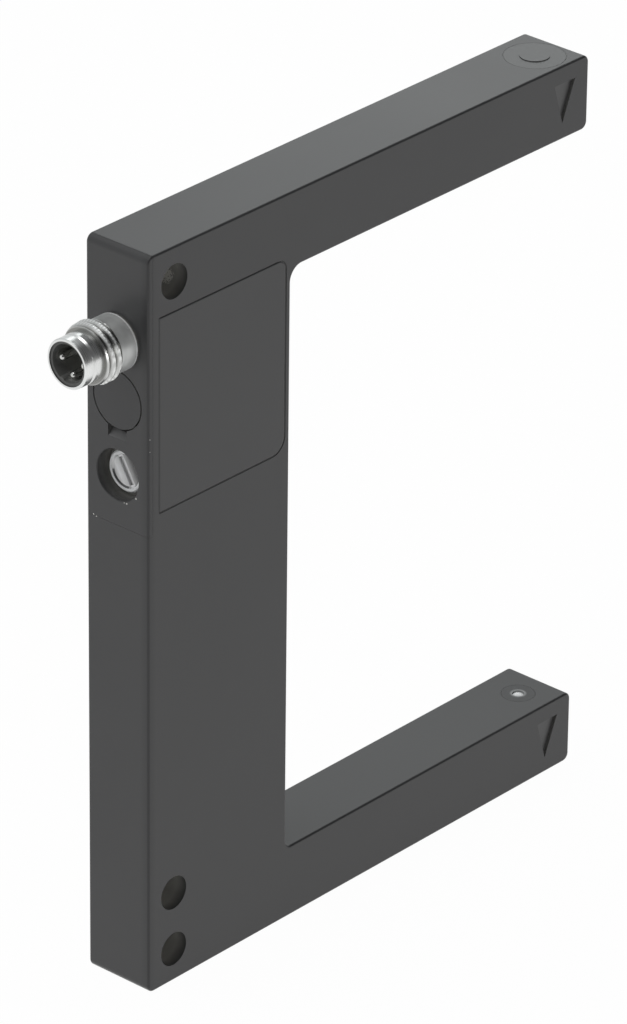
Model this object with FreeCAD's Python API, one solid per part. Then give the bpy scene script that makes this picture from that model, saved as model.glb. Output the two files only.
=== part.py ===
import FreeCAD, Part
import math
import os

# Fork sensor: a through-beam light barrier in a C-shaped die-cast housing.
# Millimetres, +Z up. The origin is the centre of the bottom face that it stands on.
# +X runs from the narrow back face (connector) to the arm tips, +Y from the front face to the rear.

# Housing
fork_opening = 80.0
fork_depth = 55.0
arm_height = 10.0
web_width = 25.0
thickness = 10.0
outer_corner_radius = 1.0
upper_inner_radius = 2.0
lower_inner_radius = 1.0
edge_radius = 0.3

# Mounting holes, through the thickness
hole_radius = 2.25
hole_from_back = 4.5
hole_from_end = 4.5
hole_pair_pitch = 8.0

# Connector plate: closes the upper part of the narrow back face
plate_thickness = 0.8
plate_below_adjuster = 6.7
seam_gap = 0.03
boss_depth = 4.2
boss_clearance = 0.05

# Cover plate on the front face, in its rabbet
cover_from_back = 1.8
cover_from_inner_face = 0.75
cover_below_adjuster = 4.2
cover_thickness = 0.8
cover_gap = 0.08
cover_left_gap = 0.02
cover_left_corner_radius = 0.3
cover_top_corner_radius = 1.5
cover_bottom_corner_radius = 2.3
cover_edge_radius = 0.3
gasket_thickness = 0.2
ledge_width = 1.25
ledge_thickness = 0.5
window_corner_radius = 1.0

# Pocket for the electronics
rear_wall = 1.2
pocket_end_wall = 2.0
pocket_above_nut = 0.8
pocket_overhang = 0.2
pocket_corner_radius = 1.0

# M8 connector, axis along X
connector_from_top = 12.3
shell_base_radius = 3.6
shell_base_length = 2.9
shell_base_chamfer = 0.3
thread_radius = 4.0
thread_length = 2.7
thread_chamfer = 0.35
lead_in_radius = 3.65
lead_in_length = 1.0
sleeve_radius = 3.2
sleeve_length = 3.0
sleeve_wall = 0.35
rim_chamfer = 0.12
snap_groove_depth = 0.2
snap_groove_width = 0.5
spigot_radius = 2.9
spigot_wall = 0.6
fit_gap = 0.02
nut_radius = 3.4
nut_length = 1.2
nut_slot_width = 0.8
lining_recess = 0.2
lining_wall = 0.35
socket_depth = 4.2
insulator_shoulder = 1.0
pin_radius = 0.5
pin_recess = 0.75
pin_circle_radius = 1.8
pin_seat_depth = 1.3
tail_radius = 0.3
tail_reach = 0.5
pin_angles = {"contact_pin_1": 0.0, "contact_pin_3": 180.0, "contact_pin_4": 270.0}
key_angle = 293.0
key_radius = 0.45
o_ring_section = 0.4

# Filler plug, below the connector
plug_land = 0.55
plug_bore_radius = 3.95
plug_gap = 0.2
skirt_radius = 2.7
skirt_wall = 0.7
skirt_reach = 0.5
notch_width = 3.0
notch_height = 1.2
notch_depth = 1.4
notch_ramp = 0.8

# Adjuster, below the filler plug
adjuster_from_plug = 10.0
recess_radius = 3.35
recess_depth = 2.3
recess_chamfer = 0.1
head_radius = 2.75
head_sunk = 1.35
head_clearance = 0.1
head_chamfer = 0.2
dish_radius = 2.25
dish_depth = 0.2
slot_width = 0.7
slot_length = 3.7
slot_depth = 0.35
slot_angle = 59.0
stem_radius = 1.4
running_gap = 0.05
stem_groove_depth = 0.45
adjuster_ring_section = 0.24
clip_radius = 1.75
clip_thickness = 0.4
clip_opening = 1.0
blade_width = 1.8
blade_thickness = 0.5
blade_length = 0.8

# Trimmer behind the adjuster
trimmer_gap = 0.6
trimmer_length = 4.6
trimmer_above_axis = 1.4
trimmer_below_axis = 2.2
trimmer_before_axis = 2.4
rotor_radius = 1.2
rotor_length = 1.5
rotor_stand_out = 0.25

# Status light above the adjuster's stem
guide_radius = 0.45
guide_offset = 2.3
guide_length = 4.4
led_gap = 0.2
led_width = 1.8
led_length = 1.6
led_below_guide = 0.85

# Boards
board_thickness = 1.0
board_standoff = 0.6
board_margin = 0.6
connector_board_thickness = 0.8
connector_board_gap = 0.2
connector_board_height = 6.6
board_screw_inset = 2.4
screw_radius = 0.8
screw_head_radius = 1.4
screw_head_height = 0.8
screw_bite = 1.1
post_radius = 1.5
screw_slot_width = 0.4

# Chips on the main board: each place is measured from the board's left edge, or with a minus sign from its
# right edge, and from its middle height
signal_chip = {"size": (5.0, 4.0, 1.3), "place": (5.6, 1.2), "leads": 4, "pitch": 1.27}
output_driver = {"size": (3.0, 2.6, 1.2), "place": (-2.6, 1.2), "leads": 2, "pitch": 1.9}
voltage_regulator = {"size": (3.0, 1.6, 1.0), "place": (4.6, 7.4), "leads": 2, "pitch": 1.9}
resistors = {"size": (1.6, 0.8, 0.5), "cap": 0.3,
             "places": [(3.0, -6.0), (3.0, -4.4), (6.2, -6.0), (-5.4, 8.4)]}
capacitors = {"size": (2.0, 1.25, 1.0), "places": [(-5.6, 5.6), (-5.6, -4.4)], "cap": 0.4}
cap_overlap = 0.04
chip_lift = 0.15
chip_lead_thickness = 0.2
chip_lead_width = 0.4
chip_lead_reach = 0.9

# Optics in the arm tips
axis_from_tip = 5.0
axis_from_front = 4.6
optic_bore_radius = 3.15
optic_floor = 2.2
lid_radius = 3.9
lid_bore_gap = 0.05
lid_thickness = 1.1
lid_step = 0.1
lid_pip_radius = 1.9
lid_skirt_radius = 3.1
lid_skirt_wall = 0.6
lead_above_board = 0.5
tip_board_radius = 3.0
tip_board_thickness = 0.8
barrel_radius = 3.1
barrel_wall = 0.6
aperture_radius = 2.2
aperture_gap = 0.04
light_hole_radius = 0.8
light_hole_depth = 1.2
lens_radius = 1.75
lens_edge = 1.1
lens_back_crown = 0.6
lens_nose_radius = 0.72
lens_nose_crown = 0.2
lens_nose_sunk = 0.02
lens_gap = 0.03
emitter_length = 2.0
emitter_width = 1.6
emitter_height = 0.6
emitter_dome_radius = 0.6
photodiode_side = 2.2
photodiode_height = 0.7
photodiode_window = 1.4
photodiode_window_depth = 0.1

# Recessed arrowheads on the front face, beside the optics
mark_left = 1.5
mark_right = 2.4
mark_apex = 0.15
mark_top = 7.65
mark_bottom = 2.2
mark_depth = 0.35

# Lead channels and leads
channel_radius = 1.5
channel_bend = 3.0
channel_from_back = 15.0
lead_bend = 2.5
lead_end_bend = 0.7
emitter_lead_radius = 0.4
emitter_lead_pitch = 1.1
receiver_lead_radius = 0.35
receiver_lead_pitch = 0.9
lead_pad_pitch = 1.4
lead_inside_board = 1.0
lead_into_pocket = 5.0

# Places worked out from the sizes above
height = fork_opening + 2 * arm_height
width = web_width + fork_depth
back = -width / 2
tip = width / 2
inner_face = back + web_width
front = -thickness / 2
rear = thickness / 2
plate_back = back + plate_thickness
boss_end = plate_back + boss_depth
cover_left = back + cover_from_back
cover_right = inner_face - cover_from_inner_face
rabbet_depth = cover_thickness + gasket_thickness
pocket_front = front + rabbet_depth + ledge_thickness
pocket_rear = rear - rear_wall
pocket_right = inner_face - pocket_end_wall
connector_z = height - connector_from_top
plug_z = connector_z - spigot_radius - o_ring_section - plug_land - plug_bore_radius
adjuster_z = plug_z - adjuster_from_plug
plate_bottom = adjuster_z - plate_below_adjuster
cover_bottom = adjuster_z - cover_below_adjuster
pocket_top = connector_z + nut_radius + pocket_above_nut
cover_top = pocket_top - pocket_overhang
pocket_bottom = cover_bottom + ledge_width - pocket_overhang
thread_start = back - shell_base_length
sleeve_start = thread_start - thread_length
rim = sleeve_start - sleeve_length
insulator_end = boss_end + nut_length
connector_board_back = insulator_end + connector_board_gap
board_left = connector_board_back + connector_board_thickness
board_right = pocket_right - board_margin
board_rear = pocket_rear - board_standoff
board_front = board_rear - board_thickness
board_bottom = pocket_bottom + board_margin
board_top = pocket_top - board_margin
axis_x = tip - axis_from_tip
axis_y = front + axis_from_front
channel_x = back + channel_from_back


def vec(x, y, z):
    return FreeCAD.Vector(x, y, z)


def block(x0, x1, y0, y1, z0, z1):
    return Part.makeBox(x1 - x0, y1 - y0, z1 - z0, vec(x0, y0, z0))


def rod(radius, start, end):
    run = end - start
    return Part.makeCylinder(radius, run.Length, start, run)


def prism_y(points, y0, y1):
    """Solid between y0 and y1 with an outline of (x, z) points."""
    corners = [vec(x, y0, z) for x, z in points]
    outline = Part.makePolygon(corners + corners[:1])
    return Part.Face(outline).extrude(vec(0, y1 - y0, 0))


def corner_rounded(solid, x, z, radius):
    """Rounds the edge along Y that stands at (x, z)."""
    edges = []
    for edge in solid.Edges:
        ends = [v.Point for v in edge.Vertexes]
        if all(abs(p.x - x) < 0.01 and abs(p.z - z) < 0.01 for p in ends):
            edges.append(edge)
    return solid.makeFillet(radius, edges)


def rounded_block(x0, x1, y0, y1, z0, z1, radii):
    """Block with its edges along Y rounded; radii start at the lower left and go round by the lower right."""
    solid = block(x0, x1, y0, y1, z0, z1)
    for (x, z), radius in zip([(x0, z0), (x1, z0), (x1, z1), (x0, z1)], radii):
        solid = corner_rounded(solid, x, z, radius)
    return solid


def turned_x(profile, z):
    """Piece turned about an axis along X at height z; the profile holds (x, radius) points."""
    corners = [vec(x, 0, z + r) for x, r in profile]
    outline = Part.makePolygon(corners + corners[:1])
    return Part.Face(outline).revolve(vec(0, 0, z), vec(1, 0, 0), 360)


def on_axis(z):
    """Point on the optical axis."""
    return vec(axis_x, axis_y, z)


def turned_z(profile):
    """Piece turned about the optical axis; the profile holds (radius, z) points."""
    corners = [on_axis(z) + vec(r, 0, 0) for r, z in profile]
    outline = Part.makePolygon(corners + corners[:1])
    return Part.Face(outline).revolve(on_axis(0), vec(0, 0, 1), 360)


def ring_x(x, z, ring_radius, section_radius):
    return Part.makeTorus(ring_radius, section_radius, vec(x, 0, z), vec(1, 0, 0))


def bent_rod(points, radius, bends):
    """Round rod through the points, with an arc of the given radius at each inner point."""
    edges = []
    start = points[0]
    for before, corner, after, bend in zip(points, points[1:], points[2:], bends):
        arrive = (corner - before).normalize()
        leave = (after - corner).normalize()
        half_turn = arrive.getAngle(leave) / 2
        reach = bend * math.tan(half_turn)
        first = corner - arrive * reach
        last = corner + leave * reach
        inward = (leave - arrive).normalize()
        middle = corner + inward * (bend / math.cos(half_turn) - bend)
        edges.append(Part.LineSegment(start, first).toShape())
        edges.append(Part.Arc(first, middle, last).toShape())
        start = last
    edges.append(Part.LineSegment(start, points[-1]).toShape())
    path = Part.Wire(edges)
    section = Part.Wire(Part.makeCircle(radius, points[0], points[1] - points[0]))
    return path.makePipeShell([section], True, False)


def mirrored(shape):
    """The same piece in the other arm."""
    return shape.mirror(vec(0, 0, height / 2), vec(0, 0, 1))


# Housing

def outer_form():
    """The whole C with its rounded edges, before it is divided into housing and connector plate."""
    outline = [(back, 0), (tip, 0), (tip, arm_height), (inner_face, arm_height),
               (inner_face, height - arm_height), (tip, height - arm_height), (tip, height), (back, height)]
    form = prism_y(outline, front, rear)
    form = corner_rounded(form, inner_face, arm_height, lower_inner_radius)
    form = corner_rounded(form, inner_face, height - arm_height, upper_inner_radius)
    tip_corners = [(tip, 0), (tip, arm_height), (tip, height - arm_height), (tip, height)]
    for x, z in [(back, 0)] + tip_corners + [(back, height)]:
        form = corner_rounded(form, x, z, outer_corner_radius)
    faces = [f for f in form.Faces if abs(f.normalAt(0, 0).y) > 0.99]
    outline_edges = [edge for face in faces for edge in face.Edges]
    return form.makeFillet(edge_radius, outline_edges)


def plate_region(gap):
    return block(back - 1, plate_back - gap, front - 1, rear + 1, plate_bottom + gap, height + 1)


def direction_mark(floor_z):
    """Wedge-shaped recess: an arrowhead that points down, deepest along its right edge."""
    left = vec(axis_x - mark_left, front, floor_z + mark_top)
    right = vec(axis_x + mark_right, front, floor_z + mark_top)
    apex = vec(axis_x + mark_apex, front, floor_z + mark_bottom)
    right_deep = right + vec(0, mark_depth, 0)
    apex_deep = apex + vec(0, mark_depth, 0)
    outlines = [[left, right, apex], [left, right_deep, apex_deep], [left, right, right_deep],
                [left, apex, apex_deep], [right, apex, apex_deep, right_deep]]
    faces = [Part.Face(Part.makePolygon(o + o[:1])) for o in outlines]
    return Part.Solid(Part.Shell(faces))


def optic_bore():
    """Room for the optics in the lower arm, with the light hole in its inner face."""
    bore = rod(optic_bore_radius, on_axis(-1), on_axis(arm_height - optic_floor))
    lid_seat = rod(lid_radius + lid_bore_gap, on_axis(-1), on_axis(lid_thickness))
    light_hole = rod(aperture_radius + aperture_gap, on_axis(0), on_axis(arm_height + 1))
    return bore.fuse([lid_seat, light_hole])


def lead_channel(pocket_z, arm_z):
    points = [vec(channel_x, 0, pocket_z), vec(channel_x, 0, arm_z), vec(axis_x, 0, arm_z)]
    return bent_rod(points, channel_radius, [channel_bend])


def board_screw_places():
    x = board_right - board_screw_inset
    return [(x, board_top - board_screw_inset), (x, board_bottom + board_screw_inset)]


def cover_outline(y0, y1, left_gap, gap):
    """The cover's outline, smaller by the gaps: tight on the left, open on the other sides."""
    radii = [cover_left_corner_radius, cover_bottom_corner_radius - gap, cover_top_corner_radius - gap,
             cover_left_corner_radius]
    return rounded_block(cover_left + left_gap, cover_right - gap, y0, y1,
                         cover_bottom + gap, cover_top - gap, radii)


def cover_window(y0, y1):
    return rounded_block(cover_left + ledge_width, cover_right - ledge_width, y0, y1,
                         cover_bottom + ledge_width, cover_top - ledge_width, [window_corner_radius] * 4)


def housing():
    body = outer_form().cut(plate_region(0))
    pocket = rounded_block(plate_back - pocket_corner_radius, pocket_right, pocket_front, pocket_rear,
                           pocket_bottom, pocket_top, [pocket_corner_radius] * 4)
    mouth = block(plate_back - 1, boss_end, pocket_front, pocket_rear, pocket_bottom, pocket_top)
    rabbet = cover_outline(front - 1, front + rabbet_depth, 0, 0)
    window = cover_window(front, pocket_front + 1)
    cuts = [pocket, mouth, rabbet, window, optic_bore(), mirrored(optic_bore())]
    cuts.append(lead_channel(pocket_bottom + 1, arm_height / 2))
    cuts.append(lead_channel(pocket_top - 1, height - arm_height / 2))
    hole_x = back + hole_from_back
    for z in (hole_from_end, hole_from_end + hole_pair_pitch, height - hole_from_end):
        cuts.append(rod(hole_radius, vec(hole_x, front - 1, z), vec(hole_x, rear + 1, z)))
    cuts.append(direction_mark(0))
    cuts.append(direction_mark(height - arm_height))
    cuts.append(adjuster_recess())
    body = body.cut(cuts)
    for x, z in board_screw_places():
        body = body.fuse(rod(post_radius, vec(x, board_rear, z), vec(x, pocket_rear, z)))
    for x, z in board_screw_places():
        body = body.cut(rod(screw_radius, vec(x, board_rear, z), vec(x, board_rear + screw_bite, z)))
    return body


# Cover

def front_cover():
    """Flush plate; its front edge is rounded on the three sides with an open gap."""
    plate = cover_outline(front, front + cover_thickness, cover_left_gap, cover_gap)
    past_left_side = cover_left + 2 * cover_left_corner_radius
    edges = [e for e in plate.Edges if e.BoundBox.YMax < front + 0.01 and e.BoundBox.XMax > past_left_side]
    return plate.makeFillet(cover_edge_radius, edges)


def cover_gasket():
    low = front + cover_thickness
    frame = cover_outline(low, low + gasket_thickness, cover_left_gap, cover_gap)
    return frame.cut(cover_window(low - 1, low + 1))


# Connector plate with everything that passes through it

def pry_notch():
    """Pocket under the plug's edge for a screwdriver tip, with a ramp that leads the tip in."""
    bore_low = plug_z - plug_bore_radius
    low = bore_low - notch_height
    high = bore_low + notch_height
    outline = [(back - 1, low), (back, low), (back + notch_ramp, low + notch_ramp),
               (back + notch_depth, low + notch_ramp), (back + notch_depth, high), (back - 1, high)]
    return prism_y(outline, -notch_width / 2, notch_width / 2)


def adjuster_recess():
    """Round recess for the adjuster's head, cut through the plate and the edge of the housing's pocket."""
    mouth = recess_radius + recess_chamfer
    return turned_x([(back - 1, 0), (back - 1, mouth), (back, mouth), (back + recess_chamfer, recess_radius),
                     (back + recess_depth, recess_radius), (back + recess_depth, 0)], adjuster_z)


def connector_plate():
    plate = outer_form().common(plate_region(seam_gap))
    boss = block(plate_back - seam_gap, boss_end, pocket_front + boss_clearance, pocket_rear - boss_clearance,
                 pocket_bottom + boss_clearance, pocket_top - boss_clearance)
    plate = plate.fuse(boss)
    plate = plate.removeSplitter()
    connector_bore = rod(spigot_radius + fit_gap, vec(back - 1, 0, connector_z),
                         vec(boss_end + 1, 0, connector_z))
    ring_seat = rod(spigot_radius + o_ring_section, vec(back - 1, 0, connector_z),
                    vec(back + 2 * o_ring_section, 0, connector_z))
    plug_seat = rod(plug_bore_radius, vec(back - 1, 0, plug_z), vec(plate_back, 0, plug_z))
    plug_bore = rod(skirt_radius + fit_gap, vec(back - 1, 0, plug_z), vec(boss_end + 1, 0, plug_z))
    stem_bore = rod(stem_radius + running_gap, vec(back, 0, adjuster_z), vec(boss_end + 1, 0, adjuster_z))
    guide_z = adjuster_z + guide_offset
    guide_bore = rod(guide_radius + fit_gap, vec(back, 0, guide_z), vec(boss_end + 1, 0, guide_z))
    return plate.cut([connector_bore, ring_seat, plug_seat, plug_bore, pry_notch(), adjuster_recess(),
                      stem_bore, guide_bore])


def filler_plug():
    radius = plug_bore_radius - plug_gap
    inner = skirt_radius - skirt_wall
    end = boss_end + skirt_reach
    groove = plate_back + boss_depth / 2
    groove_radius = skirt_radius - o_ring_section
    profile = [(back, 0), (back, radius), (plate_back, radius), (plate_back, skirt_radius),
               (groove - o_ring_section, skirt_radius), (groove - o_ring_section, groove_radius),
               (groove + o_ring_section, groove_radius), (groove + o_ring_section, skirt_radius),
               (end, skirt_radius), (end, inner), (plate_back, inner), (plate_back, 0)]
    return turned_x(profile, plug_z)


def plug_o_ring():
    section = o_ring_section / 2
    return ring_x(plate_back + boss_depth / 2, plug_z, skirt_radius - section, section)


# M8 connector

def connector_shell():
    inner = sleeve_radius - sleeve_wall
    groove = sleeve_start - sleeve_length / 2
    half_groove = snap_groove_width / 2
    spigot_inner = spigot_radius - spigot_wall
    profile = [(rim, inner), (rim, sleeve_radius - rim_chamfer), (rim + rim_chamfer, sleeve_radius),
               (groove - half_groove, sleeve_radius), (groove, sleeve_radius - snap_groove_depth),
               (groove + half_groove, sleeve_radius), (sleeve_start, sleeve_radius),
               (sleeve_start, lead_in_radius),
               (sleeve_start + lead_in_length, thread_radius), (thread_start - thread_chamfer, thread_radius),
               (thread_start, shell_base_radius), (back - shell_base_chamfer, shell_base_radius),
               (back, shell_base_radius - shell_base_chamfer), (back, spigot_radius),
               (insulator_end, spigot_radius), (insulator_end, spigot_inner),
               (back - insulator_shoulder, spigot_inner), (back - insulator_shoulder, inner)]
    return turned_x(profile, connector_z)


def pin_place(angle, circle):
    turn = math.radians(angle)
    return (circle * math.cos(turn), connector_z + circle * math.sin(turn))


def insulator_body():
    inner = sleeve_radius - sleeve_wall
    spigot_inner = spigot_radius - spigot_wall
    mouth = rim + lining_recess
    floor = mouth + socket_depth
    cavity = inner - lining_wall
    shoulder = back - insulator_shoulder
    profile = [(mouth, inner), (shoulder, inner), (shoulder, spigot_inner), (insulator_end, spigot_inner),
               (insulator_end, 0), (floor, 0), (floor, cavity), (mouth, cavity)]
    body = turned_x(profile, connector_z)
    key_y, key_z = pin_place(key_angle, cavity + key_radius / 2)
    key = rod(key_radius, vec(mouth, key_y, key_z), vec(floor + lining_wall, key_y, key_z))
    bounds = rod(inner, vec(mouth, 0, connector_z), vec(shoulder, 0, connector_z))
    return body.fuse(key.common(bounds))


def connector_insulator():
    body = insulator_body()
    for angle in pin_angles.values():
        body = body.cut(contact_pin(angle))
    return body


def contact_pin(angle):
    y, z = pin_place(angle, pin_circle_radius)
    tip_x = rim + pin_recess
    seat = rim + lining_recess + socket_depth + pin_seat_depth
    front_part = rod(pin_radius, vec(tip_x + pin_radius, y, z), vec(seat, y, z))
    dome = Part.makeSphere(pin_radius, vec(tip_x + pin_radius, y, z))
    tail = rod(tail_radius, vec(seat, y, z), vec(board_left + tail_reach, y, z))
    return front_part.fuse([dome, tail]).removeSplitter()


def connector_o_ring():
    section = o_ring_section / 2
    return ring_x(back + o_ring_section, connector_z, spigot_radius + section, section)


def connector_nut():
    nut = rod(nut_radius, vec(boss_end, 0, connector_z), vec(boss_end + nut_length, 0, connector_z))
    bore = rod(spigot_radius, vec(boss_end - 1, 0, connector_z), vec(insulator_end + 1, 0, connector_z))
    slot = block(boss_end + nut_length / 2, insulator_end + 1, -nut_radius, nut_radius,
                 connector_z - nut_slot_width / 2, connector_z + nut_slot_width / 2)
    return nut.cut([bore, slot])


def connector_board():
    half = connector_board_height / 2
    board = block(connector_board_back, board_left, pocket_front + board_margin / 2, board_rear,
                  connector_z - half, connector_z + half)
    for angle in pin_angles.values():
        y, z = pin_place(angle, pin_circle_radius)
        board = board.cut(rod(tail_radius + fit_gap, vec(connector_board_back - 1, y, z),
                              vec(board_left + 1, y, z)))
    return board


# Adjuster and trimmer

def turned_to_slot(shape):
    """Turns a piece drawn with its slot upright to the angle that the slot rests at."""
    shape.rotate(vec(back, 0, adjuster_z), vec(1, 0, 0), slot_angle - 90)
    return shape


def stem_groove_x():
    """Middle of the O-ring groove: half-way along the stem's bore."""
    return (back + recess_depth + boss_end) / 2


def clip_place():
    return boss_end + running_gap


def adjuster():
    face = back + head_sunk
    under = back + recess_depth - head_clearance
    groove_x = stem_groove_x()
    half = adjuster_ring_section + running_gap
    core = stem_radius - stem_groove_depth
    clip = clip_place()
    clip_back = clip + clip_thickness + running_gap
    stem_end = clip_back + running_gap
    dish = face + dish_depth
    profile = [(dish, 0), (dish, dish_radius - dish_depth), (face, dish_radius),
               (face, head_radius - head_chamfer), (face + head_chamfer, head_radius), (under, head_radius),
               (under, stem_radius), (groove_x - half, stem_radius), (groove_x - half, core),
               (groove_x + half, core), (groove_x + half, stem_radius), (clip - running_gap, stem_radius),
               (clip - running_gap, core), (clip_back, core), (clip_back, stem_radius),
               (stem_end, stem_radius), (stem_end, 0)]
    body = turned_x(profile, adjuster_z)
    blade = block(stem_end, stem_end + blade_length, -blade_thickness / 2, blade_thickness / 2,
                  adjuster_z - blade_width / 2, adjuster_z + blade_width / 2)
    slot = block(face, dish + slot_depth, -slot_width / 2, slot_width / 2,
                 adjuster_z - slot_length / 2, adjuster_z + slot_length / 2)
    return turned_to_slot(body.fuse(blade).cut(slot))


def adjuster_o_ring():
    ring_radius = stem_radius + running_gap - adjuster_ring_section - fit_gap / 2
    return ring_x(stem_groove_x(), adjuster_z, ring_radius, adjuster_ring_section)


def retaining_clip():
    clip = clip_place()
    core = stem_radius - stem_groove_depth
    ring = rod(clip_radius, vec(clip, 0, adjuster_z), vec(clip + clip_thickness, 0, adjuster_z))
    hole = rod(core, vec(clip - 1, 0, adjuster_z), vec(clip + 1, 0, adjuster_z))
    mouth = block(clip - 1, clip + 1, -clip_opening / 2, clip_opening / 2,
                  adjuster_z - clip_radius, adjuster_z)
    return ring.cut([hole, mouth])


def blade_start():
    return clip_place() + clip_thickness + 2 * running_gap


def trimmer_face():
    return blade_start() + trimmer_gap


def trimmer_body():
    face = trimmer_face()
    body = block(face, face + trimmer_length, -trimmer_before_axis, board_front,
                 adjuster_z - trimmer_below_axis, adjuster_z + trimmer_above_axis)
    bore = rod(rotor_radius + running_gap, vec(face - 1, 0, adjuster_z),
               vec(face + rotor_length, 0, adjuster_z))
    return body.cut(bore)


def trimmer_rotor():
    face = trimmer_face() - rotor_stand_out
    end = trimmer_face() + rotor_length - running_gap
    rotor = rod(rotor_radius, vec(face, 0, adjuster_z), vec(end, 0, adjuster_z))
    half_slot = blade_thickness / 2 + fit_gap
    slot = block(face - 1, blade_start() + blade_length + running_gap, -half_slot, half_slot,
                 adjuster_z - rotor_radius, adjuster_z + rotor_radius)
    return turned_to_slot(rotor.cut(slot))


def light_guide():
    z = adjuster_z + guide_offset
    start = back + recess_depth
    return rod(guide_radius, vec(start, 0, z), vec(start + guide_length, 0, z))


def status_led():
    z = adjuster_z + guide_offset
    face = back + recess_depth + guide_length + led_gap + guide_radius
    body = block(face, face + led_length, -led_width / 2, board_front,
                 z - led_below_guide + running_gap, z + led_width / 2)
    dome = Part.makeSphere(guide_radius, vec(face, 0, z))
    return body.fuse(dome)


# Boards and what is on them

def main_board():
    board = block(board_left, board_right, board_front, board_rear, board_bottom, board_top)
    for x, z in board_screw_places():
        board = board.cut(rod(screw_radius + fit_gap, vec(x, board_front - 1, z), vec(x, board_rear + 1, z)))
    return board


def board_screws():
    screws = []
    for x, z in board_screw_places():
        head_face = board_front - screw_head_height
        head = rod(screw_head_radius, vec(x, head_face, z), vec(x, board_front, z))
        shank = rod(screw_radius, vec(x, board_front, z), vec(x, board_rear + screw_bite, z))
        half = screw_slot_width / 2
        slot = block(x - screw_head_radius, x + screw_head_radius,
                     head_face - 1, head_face + screw_slot_width, z - half, z + half)
        screws.append(head.fuse(shank).cut(slot))
    return Part.makeCompound(screws)


def board_place(place):
    x, z = place
    edge = board_right if x < 0 else board_left
    return edge + x, (board_bottom + board_top) / 2 + z


def gull_wing_chip(chip):
    """Chip on the main board with bent leads on its upper and lower sides."""
    length, depth, tall = chip["size"]
    x, z = board_place(chip["place"])
    face = board_front - chip_lift - tall
    body = block(x - length / 2, x + length / 2, face, board_front - chip_lift, z - depth / 2, z + depth / 2)
    knee = face + tall / 2
    metal = chip_lead_thickness
    for side in (-1, 1):
        root = z + side * depth / 2
        elbow = root + side * chip_lead_reach / 2
        end = root + side * chip_lead_reach
        inside = root - side * metal
        outline = [(inside, knee - metal), (elbow, knee - metal), (elbow, board_front - metal),
                   (end, board_front - metal), (end, board_front), (elbow - side * metal, board_front),
                   (elbow - side * metal, knee), (inside, knee)]
        for i in range(chip["leads"]):
            lead_x = x + (i - (chip["leads"] - 1) / 2) * chip["pitch"] - chip_lead_width / 2
            corners = [vec(lead_x, lead_y, lead_z) for lead_z, lead_y in outline]
            lead = Part.Face(Part.makePolygon(corners + corners[:1])).extrude(vec(chip_lead_width, 0, 0))
            body = body.fuse(lead)
    return body


def chip_parts(chip):
    """Two-terminal chips: each a body between two metal end caps, flat on the board."""
    length, depth, tall = chip["size"]
    parts = []
    for place in chip["places"]:
        x, z = board_place(place)
        body = block(x - length / 2, x + length / 2, board_front - tall, board_front,
                     z - depth / 2, z + depth / 2)
        for end in (x - length / 2, x + length / 2 - chip["cap"]):
            terminal = block(end, end + chip["cap"], board_front - tall - cap_overlap, board_front,
                             z - depth / 2 - cap_overlap, z + depth / 2 + cap_overlap)
            body = body.fuse(terminal)
        parts.append(body)
    return Part.makeCompound(parts)


# Optics, drawn in the lower arm; the upper arm has the mirror image

def optic_lid():
    profile = [(0, 0), (lid_pip_radius, 0), (lid_pip_radius, lid_step), (lid_radius, lid_step),
               (lid_radius, lid_thickness), (lid_skirt_radius, lid_thickness),
               (lid_skirt_radius, tip_board_low()), (lid_skirt_radius - lid_skirt_wall, tip_board_low()),
               (lid_skirt_radius - lid_skirt_wall, lid_thickness), (0, lid_thickness)]
    return turned_z(profile)


def emitter_lid():
    """The upper lid sits with its ring flush, so that its pip stands a little proud."""
    lid = mirrored(optic_lid())
    lid.translate(vec(0, 0, lid_step))
    return lid


def tip_board_top():
    """Just below the leads, which run through the middle of the arm."""
    return arm_height / 2 - lead_above_board


def tip_board_low():
    return tip_board_top() - tip_board_thickness


def tip_board():
    return rod(tip_board_radius, on_axis(tip_board_low()), on_axis(tip_board_top()))


def lens_seat():
    return arm_height - light_hole_depth


def lens_barrel():
    low = tip_board_top()
    shoulder = arm_height - optic_floor
    inner = barrel_radius - barrel_wall
    seat = lens_seat()
    step = shoulder - barrel_wall
    bore = lens_radius + lens_gap
    profile = [(inner, low), (barrel_radius, low), (barrel_radius, shoulder), (aperture_radius, shoulder),
               (aperture_radius, arm_height), (light_hole_radius, arm_height), (light_hole_radius, seat),
               (bore, seat), (bore, step), (inner, step)]
    barrel = turned_z(profile)
    lead_slot = block(axis_x - barrel_radius - 1, axis_x, -channel_radius, channel_radius, low - 1, step)
    return barrel.cut(lead_slot)


def crown_z(radius, crown, z, side):
    """Spherical cap of the given radius and crown on the optical axis; side 1 bulges up from z, -1 down."""
    ball_radius = (radius ** 2 + crown ** 2) / (2 * crown)
    ball = Part.makeSphere(ball_radius, on_axis(z + side * (crown - ball_radius)))
    zone = rod(radius, on_axis(z), on_axis(z + side * crown))
    return zone.common(ball)


def optic_lens():
    """Lens with a domed nose in the light hole and a convex back towards the chip."""
    seat = lens_seat()
    nose_top = arm_height - lens_nose_sunk
    edge_low = seat - lens_edge
    body = rod(lens_radius, on_axis(edge_low), on_axis(seat))
    back_bulge = crown_z(lens_radius, lens_back_crown, edge_low, -1)
    nose = rod(lens_nose_radius, on_axis(seat), on_axis(nose_top - lens_nose_crown))
    nose_bulge = crown_z(lens_nose_radius, lens_nose_crown, nose_top - lens_nose_crown, 1)
    return body.fuse([back_bulge, nose, nose_bulge]).removeSplitter()


def emitter_led():
    low = tip_board_top()
    body = block(axis_x - emitter_length / 2, axis_x + emitter_length / 2, axis_y - emitter_width / 2,
                 axis_y + emitter_width / 2, low, low + emitter_height)
    dome = crown_z(emitter_dome_radius, emitter_dome_radius, low + emitter_height, 1)
    return mirrored(body.fuse(dome))


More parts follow.
